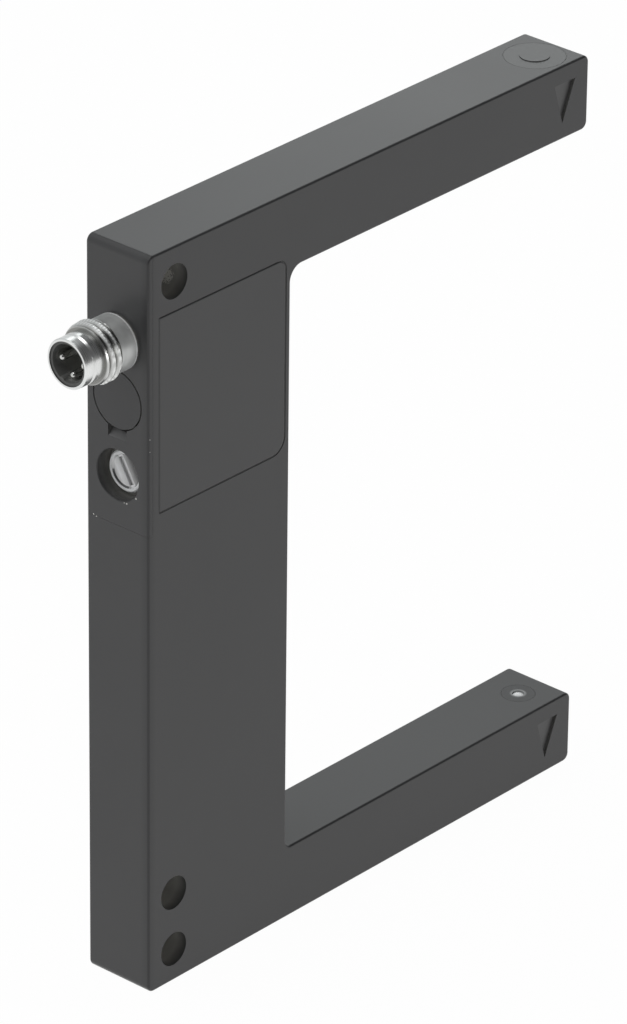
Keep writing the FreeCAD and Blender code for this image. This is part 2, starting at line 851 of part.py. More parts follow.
def receiver_photodiode():
    low = tip_board_top()
    top = low + photodiode_height
    half = photodiode_side / 2
    half_window = photodiode_window / 2
    body = block(axis_x - half, axis_x + half, axis_y - half, axis_y + half, low, top)
    window = block(axis_x - half_window, axis_x + half_window, axis_y - half_window, axis_y + half_window,
                   top - photodiode_window_depth, top + 1)
    return body.cut(window)


def leads(arm_z, end_z, step_z, radius, pitch, count):
    """Leads from a tip board through the arm and up or down to the main board."""
    start_x = axis_x - tip_board_radius + lead_inside_board
    rods = []
    for i in range(count):
        y = (i - (count - 1) / 2) * pitch
        turn_z = end_z + i * step_z
        points = [vec(start_x, y, arm_z), vec(channel_x, y, arm_z), vec(channel_x, y, turn_z),
                  vec(channel_x, board_front, turn_z)]
        rods.append(bent_rod(points, radius, [lead_bend, lead_end_bend]))
    return Part.makeCompound(rods)


def emitter_leads():
    end_z = pocket_top - lead_into_pocket
    return leads(height - arm_height / 2, end_z, -lead_pad_pitch, emitter_lead_radius, emitter_lead_pitch, 2)


def receiver_leads():
    end_z = pocket_bottom + lead_into_pocket
    return leads(arm_height / 2, end_z, lead_pad_pitch, receiver_lead_radius, receiver_lead_pitch, 3)


def all_nodes():
    nodes = {
        "housing": housing(),
        "front_cover": front_cover(),
        "cover_gasket": cover_gasket(),
        "connector_plate": connector_plate(),
        "connector_shell": connector_shell(),
        "connector_insulator": connector_insulator(),
        "connector_o_ring": connector_o_ring(),
        "connector_nut": connector_nut(),
        "connector_board": connector_board(),
        "filler_plug": filler_plug(),
        "plug_o_ring": plug_o_ring(),
        "adjuster": adjuster(),
        "adjuster_o_ring": adjuster_o_ring(),
        "retaining_clip": retaining_clip(),
        "trimmer_body": trimmer_body(),
        "trimmer_rotor": trimmer_rotor(),
        "light_guide": light_guide(),
        "status_led": status_led(),
        "main_board": main_board(),
        "board_screws": board_screws(),
        "signal_chip": gull_wing_chip(signal_chip),
        "output_driver": gull_wing_chip(output_driver),
        "voltage_regulator": gull_wing_chip(voltage_regulator),
        "resistors": chip_parts(resistors),
        "capacitors": chip_parts(capacitors),
        "receiver_plug": optic_lid(),
        "receiver_board": tip_board(),
        "receiver_photodiode": receiver_photodiode(),
        "receiver_aperture": lens_barrel(),
        "receiver_lens": optic_lens(),
        "receiver_leads": receiver_leads(),
        "emitter_plug": emitter_lid(),
        "emitter_board": mirrored(tip_board()),
        "emitter_led": emitter_led(),
        "emitter_aperture": mirrored(lens_barrel()),
        "emitter_lens": mirrored(optic_lens()),
        "emitter_leads": emitter_leads(),
    }
    for name, angle in pin_angles.items():
        nodes[name] = contact_pin(angle)
    return nodes


os.makedirs("parts", exist_ok=True)
for node_name, node_shape in all_nodes().items():
    node_shape.exportStep("parts/" + node_name + ".step")
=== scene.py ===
# %% [markdown]
# # A fork sensor, dressed for its portrait
#
# The object is a light barrier in the form of a C. Light crosses the gap between the tips of its two arms,
# and a small part that passes through the gap breaks the beam. The solids come ready made from a CAD model,
# so this lesson is mostly about finishes: black powder coat, nickel, moulded plastic and one clear screw.
# Blender counts in metres. Sizes of the sensor are written in millimetres here and multiplied by MM.

# %% Load the solids
import math

import bmesh
import bpy
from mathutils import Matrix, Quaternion, Vector


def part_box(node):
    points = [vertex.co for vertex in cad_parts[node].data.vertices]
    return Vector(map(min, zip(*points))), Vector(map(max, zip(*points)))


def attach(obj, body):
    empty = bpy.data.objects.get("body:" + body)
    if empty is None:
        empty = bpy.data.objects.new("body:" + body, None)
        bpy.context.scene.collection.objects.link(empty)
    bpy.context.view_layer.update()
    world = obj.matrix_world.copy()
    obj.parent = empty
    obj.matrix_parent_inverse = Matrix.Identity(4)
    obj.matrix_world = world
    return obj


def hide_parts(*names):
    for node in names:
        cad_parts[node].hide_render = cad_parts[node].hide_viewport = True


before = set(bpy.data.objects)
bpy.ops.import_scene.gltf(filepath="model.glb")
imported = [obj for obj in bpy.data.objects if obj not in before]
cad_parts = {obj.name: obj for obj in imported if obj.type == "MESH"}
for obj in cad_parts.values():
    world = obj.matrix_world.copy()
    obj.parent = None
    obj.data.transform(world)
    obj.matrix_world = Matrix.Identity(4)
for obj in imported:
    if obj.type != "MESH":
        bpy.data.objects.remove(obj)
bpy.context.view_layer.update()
MM = 0.001

# %% [markdown]
# ## Camera
#
# The portrait looks down at the sensor from its front left, through a long lens, so that parallel edges stay
# almost parallel. A camera could be placed by eye and nudged. Here it gets two angles, a small roll and a
# distance, because those numbers can be solved from the corners of a block and read again later.

# %% Place the camera
CAMERA_AZIMUTH = math.radians(-48.494)
CAMERA_ELEVATION = math.radians(27.567)
CAMERA_ROLL = 0.01105
CAMERA_DISTANCE = 908.4 * MM
CAMERA_TARGET = Vector((-4.74, 0.07, 51.45)) * MM
CAMERA_LENS = 259.57
FILM_WIDTH = 36.0

towards_camera = Vector((
    math.sin(CAMERA_AZIMUTH) * math.cos(CAMERA_ELEVATION),
    -math.cos(CAMERA_AZIMUTH) * math.cos(CAMERA_ELEVATION),
    math.sin(CAMERA_ELEVATION),
))
camera = bpy.data.objects.new("camera", bpy.data.cameras.new("camera"))
camera.data.lens = CAMERA_LENS
camera.data.sensor_width = FILM_WIDTH
camera.data.clip_start = 10.0 * MM
camera.location = CAMERA_TARGET + towards_camera * CAMERA_DISTANCE
upright = towards_camera.to_track_quat("Z", "Y")
camera.rotation_euler = (upright @ Quaternion((0, 0, 1), CAMERA_ROLL)).to_euler()
bpy.context.scene.collection.objects.link(camera)
bpy.context.scene.camera = camera
bpy.context.scene.view_settings.view_transform = "Standard"
print("camera at", [round(c, 3) for c in camera.location])

# %% [markdown]
# ## Helpers for shader nodes
#
# Every finish below is a small network of nodes. Written out call by call, such a network takes pages.
# One helper adds a node and sets its values, and a few short ones stand for arithmetic, colours and bumps,
# so each finish reads as a recipe.

# %% Add nodes and start finishes
def add_node(tree, kind, values=None, **settings):
    """Adds a node of that kind; values go to its sockets by name or number, settings to its properties."""
    node = tree.nodes.new("ShaderNode" + kind)
    for name, value in settings.items():
        setattr(node, name, value)
    for socket, value in (values or {}).items():
        if isinstance(value, bpy.types.NodeSocket):
            tree.links.new(value, node.inputs[socket])
        else:
            node.inputs[socket].default_value = value
    return node


def start_finish(name, **values):
    """A new material with its Principled shader; values are set on the shader's own sockets."""
    finish = bpy.data.materials.new(name)
    finish.use_nodes = True
    shader = finish.node_tree.nodes["Principled BSDF"]
    for socket, value in values.items():
        shader.inputs[socket.replace("_", " ")].default_value = value
    return finish, finish.node_tree, shader


def place_on_object(tree):
    """Coordinates in metres that stay with the piece."""
    return add_node(tree, "TexCoord").outputs["Object"]


def normal_on_object(tree):
    """The direction in which the surface faces."""
    return add_node(tree, "TexCoord").outputs["Normal"]


# %% Arithmetic with nodes
def math_of(tree, operation, *values, **settings):
    return add_node(tree, "Math", dict(enumerate(values)), operation=operation, **settings).outputs[0]


def vector_of(tree, operation, *values):
    """The result of vector arithmetic, whether it is a vector or a number."""
    node = add_node(tree, "VectorMath", dict(enumerate(values)), operation=operation)
    gives_number = operation in ("DOT_PRODUCT", "DISTANCE", "LENGTH")
    return node.outputs["Value" if gives_number else "Vector"]


def times(tree, first, second):
    return math_of(tree, "MULTIPLY", first, second)


def beyond(tree, value, limit):
    """1 where a value is above a limit."""
    return math_of(tree, "GREATER_THAN", value, limit)


def largest(tree, values):
    """The largest of several values."""
    best = values[0]
    for value in values[1:]:
        best = math_of(tree, "MAXIMUM", best, value)
    return best


def span(tree, value, low, high, at_low=0.0, at_high=1.0):
    """Runs from at_low to at_high while a value runs from low to high, and stops at both."""
    return add_node(tree, "MapRange", {"Value": value, "From Min": low, "From Max": high,
                                       "To Min": at_low, "To Max": at_high}).outputs["Result"]


def along(tree, vector, axis):
    """One coordinate of a vector; axis is X, Y or Z."""
    return add_node(tree, "SeparateXYZ", {0: vector}).outputs[axis]


def distance_to_line(tree, place, plane, point):
    """Distance from a line that is square to a plane; point is anywhere on the line, in millimetres."""
    flat = vector_of(tree, "MULTIPLY", place, plane)
    foot = [c * MM * keep for c, keep in zip(point, plane)]
    return vector_of(tree, "DISTANCE", flat, foot)


# %% Colours, roughness and bumps
def mix_colours(tree, share, first, second):
    mix = add_node(tree, "Mix", {0: share, 6: first, 7: second}, data_type="RGBA")
    return mix.outputs[2]


def two_colours(tree, value, low, first, high, second):
    """A ramp from a first colour at low to a second colour at high."""
    node = add_node(tree, "ValToRGB", {0: value})
    for element, position, colour in zip(node.color_ramp.elements, (low, high), (first, second)):
        element.position = position
        element.color = colour
    return node.outputs["Color"]


def scaled_colour(tree, colour, factor):
    return add_node(tree, "VectorMath", {0: colour, "Scale": factor}, operation="SCALE").outputs["Vector"]


def uneven_roughness(tree, shader, noise, middle, swing):
    """Lets the roughness follow a noise, from middle - swing to middle + swing."""
    rub = span(tree, noise, 0.0, 1.0, middle - swing, middle + swing)
    tree.links.new(rub, shader.inputs["Roughness"])


def uneven_skin(tree, shader, noise, strength, depth):
    """A bump that follows a noise; depth in millimetres."""
    skin = add_node(tree, "Bump", {"Height": noise, "Strength": strength, "Distance": depth * MM})
    tree.links.new(skin.outputs["Normal"], shader.inputs["Normal"])


# %% [markdown]
# ## Floor
#
# The sensor stands on a white table, and the table runs into a white background without a line. A plain
# white plane would come out grey away from the lamps, and a backdrop painted in afterwards would lose the
# shadow. So the floor glows where it is seen, all but a small share of it, and that share takes the shadow.

# %% Floor
FLOOR_HALF_SIZE = 3.0
FLOOR_GLOW_SHARE = 0.98
FLOOR_BELOW_FOOT = 0.05


def seen_rays(tree):
    """1 for rays that show the background: straight to the camera, or by way of gloss or glass."""
    path = add_node(tree, "LightPath")
    kinds = ("Is Camera Ray", "Is Glossy Ray", "Is Transmission Ray")
    return largest(tree, [path.outputs[kind] for kind in kinds])


floor_mesh = bmesh.new()
bmesh.ops.create_grid(floor_mesh, x_segments=8, y_segments=8, size=FLOOR_HALF_SIZE)
floor = bpy.data.objects.new("floor", bpy.data.meshes.new("floor"))
floor_mesh.to_mesh(floor.data)
floor_mesh.free()
floor.location.z = -FLOOR_BELOW_FOOT * MM
bpy.context.scene.collection.objects.link(floor)

table_finish, tree, shader = start_finish("white_table", Roughness=0.9, Base_Color=(0.86, 0.86, 0.86, 1))
glow = add_node(tree, "Emission", {"Color": (1, 1, 1, 1), "Strength": 1.0})
share = times(tree, seen_rays(tree), FLOOR_GLOW_SHARE)
blend = add_node(tree, "MixShader", {0: share, 1: shader.outputs[0], 2: glow.outputs[0]})
tree.links.new(blend.outputs[0], tree.nodes["Material Output"].inputs["Surface"])
floor.data.materials.append(table_finish)
print("floor is", 2 * FLOOR_HALF_SIZE, "m wide")

# %% [markdown]
# ## Light tent
#
# A tent of white cloth stands round the table. White all round would wash out every edge, so the tent is
# darker on the front side: rounded edges and polished metal then get their dark lines from it. A picture of
# a studio could light the scene too, but a ramp along one direction is enough for a tent and needs no file.
# Only light that reaches the sensor comes from that ramp. The camera itself sees plain white.

# %% World
TENT_BRIGHT = (0.9, 0.92, 0.93, 1)
TENT_DARK = (0.1, 0.1, 0.102, 1)
TENT_DARK_SIDE = Vector((-0.08, -0.9, 0.35)).normalized()
TENT_DARK_FROM = 0.5
TENT_STRENGTH = 0.8

world = bpy.data.worlds.new("light_tent")
world.use_nodes = True
bpy.context.scene.world = world
tree = world.node_tree
direction = add_node(tree, "TexCoord").outputs["Generated"]
facing = vector_of(tree, "DOT_PRODUCT", direction, TENT_DARK_SIDE)
sky = tree.nodes["Background"]
tree.links.new(two_colours(tree, facing, 0.0, TENT_BRIGHT, TENT_DARK_FROM, TENT_DARK), sky.inputs["Color"])
sky.inputs["Strength"].default_value = TENT_STRENGTH
white = add_node(tree, "Background", {"Color": (1, 1, 1, 1), "Strength": 1.0})
seen_directly = add_node(tree, "LightPath").outputs["Is Camera Ray"]
blend = add_node(tree, "MixShader", {0: seen_directly, 1: sky.outputs[0], 2: white.outputs[0]})
tree.links.new(blend.outputs[0], tree.nodes["World Output"].inputs["Surface"])
print("world:", world.name)

# %% [markdown]
# ## Lamps
#
# A large soft lamp hangs above the sensor, and others stand in front of it and at its left. Two small lamps
# behind the arm tips skim over the top faces, so the faces get lighter towards the tips. They could be large
# and far away, but then each face would get lighter at once.

# %% Lamps
SKIMMING_LIGHT = (0.96, 1.0, 0.99)


def softbox(name, place, size, watts, colour=(1, 1, 1)):
    """A square area lamp, its place and size in metres, aimed at the middle of the sensor."""
    lamp = bpy.data.objects.new(name, bpy.data.lights.new(name, "AREA"))
    lamp.data.size = size
    lamp.data.energy = watts
    lamp.data.color = colour
    lamp.location = place
    aim = Vector(place) - CAMERA_TARGET
    lamp.rotation_euler = aim.to_track_quat("Z", "Y").to_euler()
    bpy.context.scene.collection.objects.link(lamp)


softbox("top_light", (-0.3, 0.1, 0.95), size=0.5, watts=2.4)
softbox("left_light", (-0.95, 0.1, 0.4), size=0.5, watts=0.5)
softbox("front_light", (0.05, -1.0, 0.15), size=0.45, watts=2.26)
softbox("back_light", (0.267, 0.205, 0.262), size=0.16, watts=0.106, colour=SKIMMING_LIGHT)
softbox("tip_light", (0.105, 0.058, 0.141), size=0.05, watts=0.0016, colour=SKIMMING_LIGHT)

# %% [markdown]
# ## Painted shade on the coat's edges
#
# The housing, the plate on its narrow face and the flush cover are die-cast metal under a thin satin black
# coat. Their rounded edges are painted darker than the coat: painted shade, in place of the shade and dark
# reflections along them. The edges could be painted by hand. But the rounded ones are the only places where
# a face turns away from Y without being square to it, so the normal alone finds them. The long upright edge
# has a wider, softer band of painted shade, which is found by its distance.

# %% Find the edges
FRONT_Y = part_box("housing")[0].y / MM
NARROW_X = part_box("housing")[0].x / MM
BAND_STARTS = 1.35
BAND_FULL = 0.3
BAND_SHARE = 0.9


def on_rounded_edges(tree):
    """1 half-way round an edge between a Y face and a side face, 0 on both faces."""
    along_y = vector_of(tree, "DOT_PRODUCT", normal_on_object(tree), (0, 1, 0))
    square = times(tree, along_y, along_y)
    product = times(tree, square, math_of(tree, "SUBTRACT", 1.0, square))
    return math_of(tree, "MULTIPLY", product, 4.0, use_clamp=True)


def beside_long_edge(tree, place):
    """Rises towards the upright edge between the front face and the narrow face."""
    far = distance_to_line(tree, place, (1, 1, 0), (NARROW_X, FRONT_Y, 0))
    return span(tree, far, BAND_STARTS * MM, BAND_FULL * MM, 0.0, BAND_SHARE)


print("front face at Y", round(FRONT_Y, 2), "and narrow face at X", round(NARROW_X, 2))

# %% [markdown]
# ## Painted light in gaps and bores
#
# Gaps, bores and pockets are painted a lighter grey than the coat: painted light, in place of the light
# that fills them. The ambient occlusion node tells how much of the sky a point sees, and that finds the
# narrow gaps. It could find the wider hollows too, but only together with the open corners between two faces.
# So the screw holes and the recess of the clear screw are found by place: each is the inside of a pipe, below
# a face.

# %% Find gaps and bores
GAP_REACH = 4.0
SKY_AT_GAP = 0.46
SKY_IN_GAP = 0.26
MARGIN = 0.02
SCREW_HOLES = [(-35.5, 0, 4.5), (-35.5, 0, 12.5), (-35.5, 0, 95.5)]
SCREW_HOLE_RADIUS = 2.3
SCREW_HOLE_FADE = 1.6
RECESS = (0, 0, 69.9)
RECESS_RADIUS = 3.47
RECESS_FADE = 2.0
RECESS_END = 6.0
RECESS_SHARE = 0.5


def in_hollows(tree):
    """1 deep inside a narrow gap or cup, 0 on open faces and in the corners between them."""
    sky = add_node(tree, "AmbientOcclusion", {"Distance": GAP_REACH * MM}, samples=8)
    return span(tree, sky.outputs["AO"], SKY_AT_GAP, SKY_IN_GAP)


def inside_pipe(tree, place, plane, axis, radius):
    """1 inside a pipe that is square to a plane; axis is any point on it, in millimetres."""
    return math_of(tree, "LESS_THAN", distance_to_line(tree, place, plane, axis), radius * MM)


def depth_below(tree, place, axis, face, full, end):
    """Rises from 0 at a face that is square to an axis to 1 at a depth full, and is 0 again from end on."""
    along_axis = along(tree, place, axis)
    depth = span(tree, along_axis, face * MM, (face + full) * MM)
    return times(tree, depth, beyond(tree, end * MM, along_axis))


def in_bores(tree, place):
    """Rises down the walls of the screw holes and, less, of the clear screw's recess."""
    pipes = [inside_pipe(tree, place, (1, 0, 1), hole, SCREW_HOLE_RADIUS) for hole in SCREW_HOLES]
    below_front = depth_below(tree, place, "Y", FRONT_Y, SCREW_HOLE_FADE, -FRONT_Y - MARGIN)
    recess = inside_pipe(tree, place, (0, 1, 1), RECESS, RECESS_RADIUS)
    below_narrow = depth_below(tree, place, "X", NARROW_X, RECESS_FADE, NARROW_X + RECESS_END)
    holes_share = times(tree, largest(tree, pipes), below_front)
    recess_share = times(tree, times(tree, recess, below_narrow), RECESS_SHARE)
    return largest(tree, [holes_share, recess_share])


print("bores greyer inside:", len(SCREW_HOLES) + 1)

# %% [markdown]
# ## Notch and arrow marks
#
# Under the round plug, a notch with a sloping floor lets a screwdriver lift the plug. On each arm tip, a sunk
# arrow mark shows where the beam runs. The notch's floor and the marks' walls are painted lighter than the
# coat: painted light, in place of the light that reaches them. Painted vertex colours could do that, but they
# would need mesh edges in the right places. A small ball round each place, the depth and the normal find the
# same faces on any mesh.

# %% Find the notch and the arrow marks
NOTCH = [((NARROW_X, 0, 75.4), 2.2)]
RAMP_SLOPE = 0.2
MARKS = [((35.4, FRONT_Y, 94.9), 3.3), ((35.4, FRONT_Y, 4.9), 3.3)]
MARK_SKIN = 0.015
MARK_WALL_SHARE = 0.72


def near_places(tree, place, places):
    """1 in the middle of each place of a list, 0 from its radius on."""
    balls = []
    for middle, radius in places:
        far = vector_of(tree, "DISTANCE", place, [c * MM for c in middle])
        balls.append(span(tree, far, 0.0, radius * MM, 1.0, 0.0))
    return largest(tree, balls)


def on_notch_ramp(tree, place):
    """1 on the sloping floor of the notch under the plug."""
    close = beyond(tree, near_places(tree, place, NOTCH), MARGIN)
    depth = beyond(tree, along(tree, place, "X"), (NARROW_X + MARGIN) * MM)
    slope = math_of(tree, "ABSOLUTE", along(tree, normal_on_object(tree), "Z"))
    return times(tree, times(tree, close, depth), beyond(tree, slope, RAMP_SLOPE))


def on_mark_walls(tree, place):
    """Rises on the upright walls of the recessed arrow marks."""
    close = beyond(tree, near_places(tree, place, MARKS), MARGIN)
    depth = beyond(tree, along(tree, place, "Y"), (FRONT_Y + MARK_SKIN) * MM)
    sideways = (MARK_WALL_SHARE, 0, MARK_WALL_SHARE)
    upright = vector_of(tree, "LENGTH", vector_of(tree, "MULTIPLY", normal_on_object(tree), sideways))
    return times(tree, times(tree, close, depth), upright)


print("arrow marks:", len(MARKS))

# %% [markdown]
# ## Less painted edge shade at the cover's seam
#
# The edges of the cover and of its pocket are much smaller than the housing's own, so they get less of the
# painted edge shade. With the full painted shade the seam would look like a crack. A separate finish for the
# pocket's edge would need the housing's mesh cut in two. A box round the cover weakens the painted edge shade
# on both pieces.

# %% Find the cover's seam
SEAM_ROOM = 0.6
# Share of the painted edge shade that is kept at the cover's seam.
SEAM_EDGE_SHADE_SHARE = 0.3


def at_cover(tree, place):
    """1 in a box round the front cover, 0 elsewhere."""
    low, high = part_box("front_cover")
    room = Vector((SEAM_ROOM, SEAM_ROOM, SEAM_ROOM)) * MM
    away = vector_of(tree, "ABSOLUTE", vector_of(tree, "SUBTRACT", place, (low + high) / 2))
    spare = vector_of(tree, "SUBTRACT", (high - low) / 2 + room, away)
    inside = [beyond(tree, along(tree, spare, axis), 0.0) for axis in "XYZ"]
    return times(tree, times(tree, inside[0], inside[1]), inside[2])


print("seam room:", SEAM_ROOM, "mm")

# %% [markdown]
# ## Powder coat
#
# Powder melts into a skin that is slightly uneven, like very fine orange peel. Fine noise in the bump gives
# that skin, and broad, faint noise in colour and roughness keeps the large faces from looking printed. A few
# places are worn to the bare metal: each is a small ball on a list, and noise breaks its inside into flecks.
# The wear could be a bump of its own, but at this size only its colour shows.

# %% Coat recipe
# Painted shade: the darker colours of the rounded edges, in place of the shade and dark reflections there.
EDGE_PAINTED_SHADE = (0.022, 0.022, 0.023, 1)
COVER_EDGE_PAINTED_SHADE = (0.032, 0.032, 0.033, 1)
# Painted light: lighter greys in gaps, on the marks' walls and in bores, in place of the light there.
HOLLOW_PAINTED_LIGHT = (0.19, 0.187, 0.178, 1)
BORE_PAINTED_LIGHT = (0.36, 0.352, 0.33, 1)
# Painted light on the notch's sloping floor.
RAMP_PAINTED_LIGHT = (0.13, 0.13, 0.13, 1)
BARE_METAL = (0.8, 0.79, 0.74, 1)
WORN_PLACES = [((-33.6, -2.0, 94.6), 1.9), ((-40.0, 3.9, 63.3), 0.24), ((-40.0, 3.5, 63.2), 0.2),
               ((-40.0, -3.0, 67.8), 0.24), ((-40.0, -1.5, 66.6), 0.22), ((-40.0, -1.1, 66.55), 0.2),
               ((-39.7, -5.0, 74.6), 0.15), ((-39.7, -5.0, 76.2), 0.14), ((-39.8, -5.0, 100.0), 0.2)]
FLECKS_FROM = 0.27
FLECKS_FULL = 0.33


# Paints shade on the rounded edges and by the long upright edge, with less of it at the cover's seam.
def edges_painted_darker(tree, place, colour, painted_edge_shade):
    kept = span(tree, at_cover(tree, place), 0.0, 1.0, 1.0, SEAM_EDGE_SHADE_SHARE)
    edge = largest(tree, [times(tree, on_rounded_edges(tree), kept), beside_long_edge(tree, place)])
    return mix_colours(tree, edge, colour, painted_edge_shade)


# Paints light into gaps, bores, the marks' walls and the notch's sloping floor.
def hollows_painted_lighter(tree, place, colour):
    hollow_light_share = largest(tree, [in_hollows(tree), on_mark_walls(tree, place)])
    colour = mix_colours(tree, hollow_light_share, colour, HOLLOW_PAINTED_LIGHT)
    colour = mix_colours(tree, in_bores(tree, place), colour, BORE_PAINTED_LIGHT)
    return mix_colours(tree, on_notch_ramp(tree, place), colour, RAMP_PAINTED_LIGHT)


def worn_through(tree, place, colour):
    fleck = add_node(tree, "TexNoise", {"Vector": place, "Scale": 4500.0, "Detail": 1.0})
    worn = times(tree, near_places(tree, place, WORN_PLACES), fleck.outputs["Fac"])
    return mix_colours(tree, span(tree, worn, FLECKS_FROM, FLECKS_FULL), colour, BARE_METAL)


def black_coat(name, dark, light, painted_edge_shade, roughness):
    finish, tree, shader = start_finish(name)
    place = place_on_object(tree)
    clouds = add_node(tree, "TexNoise", {"Vector": place, "Scale": 45.0, "Detail": 3.0}).outputs["Fac"]
    colour = two_colours(tree, clouds, 0.35, dark, 0.65, light)
    colour = edges_painted_darker(tree, place, colour, painted_edge_shade)
    colour = hollows_painted_lighter(tree, place, colour)
    colour = worn_through(tree, place, colour)
    tree.links.new(colour, shader.inputs["Base Color"])
    uneven_roughness(tree, shader, clouds, roughness, 0.03)
    peel = add_node(tree, "TexNoise", {"Vector": place, "Scale": 2200.0, "Detail": 2.0})
    uneven_skin(tree, shader, peel.outputs["Fac"], 0.25, 0.02)
    return finish


print("worn places:", len(WORN_PLACES))

# %% Coat the housing, plate and cover
COAT_DARK = (0.036, 0.036, 0.037, 1)
COAT_LIGHT = (0.041, 0.041, 0.042, 1)
COVER_DARK = (0.04, 0.04, 0.041, 1)
COVER_LIGHT = (0.046, 0.046, 0.047, 1)


def paint(finish, *nodes):
    """Gives a finish to solids of the frame, whatever the number of their material slots."""
    for name in nodes:
        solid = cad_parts[name]
        solid.data.materials.clear()
        solid.data.materials.append(finish)
    print(finish.name, "on", len(nodes), "pieces")


paint(black_coat("housing_coat", COAT_DARK, COAT_LIGHT, EDGE_PAINTED_SHADE, 0.42), "housing", "connector_plate")
paint(black_coat("cover_coat", COVER_DARK, COVER_LIGHT, COVER_EDGE_PAINTED_SHADE, 0.4), "front_cover")

# %% [markdown]
# ## Moulded plastics and rubber
#
# The plugs, the light apertures and the connector's insert are moulded. A mould leaves an even, slightly
# duller face than powder coat. Each could have a recipe of its own, but one with a colour and a roughness
# covers all of them. The pieces that show at gaps and in the connector's cup get the coat's painted light in
# hollows too, or their gaps would look inked in. The black ring round each lens is painted lighter towards
# it: a painted glow, in place of the light that the lens throws on its ring.

# %% Plastic recipe
LENS_X = 35.0
LENS_Y = -0.4
GLOW_STARTS = 1.15
GLOW_FULL = 0.7


# Where the painted glow of the lens lies on its black ring.
def beside_lens(tree, place):
    """1 next to the lens, 0 further out on its ring."""
    far = distance_to_line(tree, place, (1, 1, 0), (LENS_X, LENS_Y, 0))
    return span(tree, far, GLOW_STARTS * MM, GLOW_FULL * MM)


def moulded(name, colour, roughness, hollow_light=None, glow=None):
    finish, tree, shader = start_finish(name)
    place = place_on_object(tree)
    speck = add_node(tree, "TexNoise", {"Vector": place, "Scale": 1500.0, "Detail": 3.0}).outputs["Fac"]
    mixed = scaled_colour(tree, colour, span(tree, speck, 0.0, 1.0, 0.9, 1.1))
    # painted light in gaps and in the connector's cup
    if hollow_light:
        mixed = mix_colours(tree, in_hollows(tree), mixed, hollow_light)
    if glow:
        mixed = mix_colours(tree, beside_lens(tree, place), mixed, glow)
    tree.links.new(mixed, shader.inputs["Base Color"])
    uneven_roughness(tree, shader, speck, roughness, 0.04)
    uneven_skin(tree, shader, speck, 0.3, 0.01)
    return finish


# %% Plastics that show
# Painted light in the connector's cup.
CUP_PAINTED_LIGHT = (0.42, 0.42, 0.395, 1)
# Painted glow from the lens on its ring.
LENS_PAINTED_GLOW = (0.42, 0.43, 0.43, 1)
paint(moulded("plug_plastic", (0.044, 0.044, 0.045), 0.5, hollow_light=HOLLOW_PAINTED_LIGHT), "filler_plug")
paint(moulded("optic_lid_plastic", (0.066, 0.067, 0.067), 0.42, hollow_light=HOLLOW_PAINTED_LIGHT),
      "receiver_plug", "emitter_plug")
paint(moulded("insert_plastic", (0.13, 0.13, 0.125), 0.6, hollow_light=CUP_PAINTED_LIGHT), "connector_insulator")
paint(moulded("aperture_plastic", (0.035, 0.035, 0.036), 0.45, hollow_light=HOLLOW_PAINTED_LIGHT, glow=LENS_PAINTED_GLOW),
      "receiver_aperture", "emitter_aperture")

# %% [markdown]
# ## Pieces inside the housing
#
# Seals, boards, chips and leads fill the closed housing, and no outside view shows them. They could stay
# grey. But one line each gives them the colours that such pieces usually have, and whoever opens the model
# can tell them apart. The plastic recipe is good enough for them.

# %% Colour the inner pieces
paint(moulded("seal_rubber", (0.02, 0.02, 0.02), 0.8),
      "connector_o_ring", "plug_o_ring", "adjuster_o_ring", "cover_gasket")
paint(moulded("board_green", (0.03, 0.2, 0.09), 0.4),
      "main_board", "connector_board", "receiver_board", "emitter_board")
paint(moulded("chip_black", (0.03, 0.03, 0.032), 0.5),
      "signal_chip", "output_driver", "voltage_regulator", "resistors")
paint(moulded("capacitor_tan", (0.45, 0.33, 0.2), 0.5), "capacitors")
paint(moulded("lead_red", (0.35, 0.04, 0.03), 0.6), "receiver_leads", "emitter_leads")
paint(moulded("trimmer_blue", (0.05, 0.2, 0.5), 0.35), "trimmer_body")
paint(moulded("rotor_white", (0.8, 0.8, 0.78), 0.5), "trimmer_rotor")
paint(moulded("diode_dark", (0.05, 0.03, 0.05), 0.2), "receiver_photodiode")
paint(moulded("lamp_body", (0.85, 0.83, 0.7), 0.3), "status_led", "emitter_led")

# %% [markdown]
# ## Metals
#
# The connector's shell is turned from brass and nickel plated, and its contacts are tin plated. A lathe
# leaves fine rings round the axis. Noise that is squeezed along X and stretched the other two ways makes
# those rings, for the bump as well as for the roughness, so that the gloss is broken up as on real plating.
#
# The shell needs four finishes. Its sleeve is bright. Its collar is satin, almost like paint, and its ring at
# the plate is painted near white: a painted highlight. The thread is bright on its crests and darker in its
# grooves, and fine slanting darker lines run across it.

# %% Metal recipe
shell_low, shell_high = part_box("connector_shell")
AXIS_Z = (shell_low.z + shell_high.z) / 2 / MM
CREST_RADIUS = 4.0
THREAD_DEPTH = 0.6
GROOVE_DARK_STARTS = 0.12
GROOVE_DARK_FULL = 0.85 * THREAD_DEPTH
RING_SQUEEZE = (9000.0, 60.0, 60.0)
SLANT_LINE_PITCH = 0.3
SLANT_LINE_DIRECTION = Vector((0.8, 0.9, 0.3)).normalized()
SLANT_LINE_SHARE = 0.5


def in_grooves(tree, place):
    """0 on the thread's crests, 1 at the bottom of its grooves."""
    out = distance_to_line(tree, place, (0, 1, 1), (0, 0, AXIS_Z))
    return span(tree, out, (CREST_RADIUS - GROOVE_DARK_STARTS) * MM, (CREST_RADIUS - GROOVE_DARK_FULL) * MM)


def slanting_lines(tree, place):
    """Fine slanting lines across the thread, from 0 to 1."""
    slant = vector_of(tree, "DOT_PRODUCT", place, SLANT_LINE_DIRECTION)
    wave = math_of(tree, "SINE", times(tree, slant, 2 * math.pi / (SLANT_LINE_PITCH * MM)))
    return span(tree, wave, -1.0, 1.0)


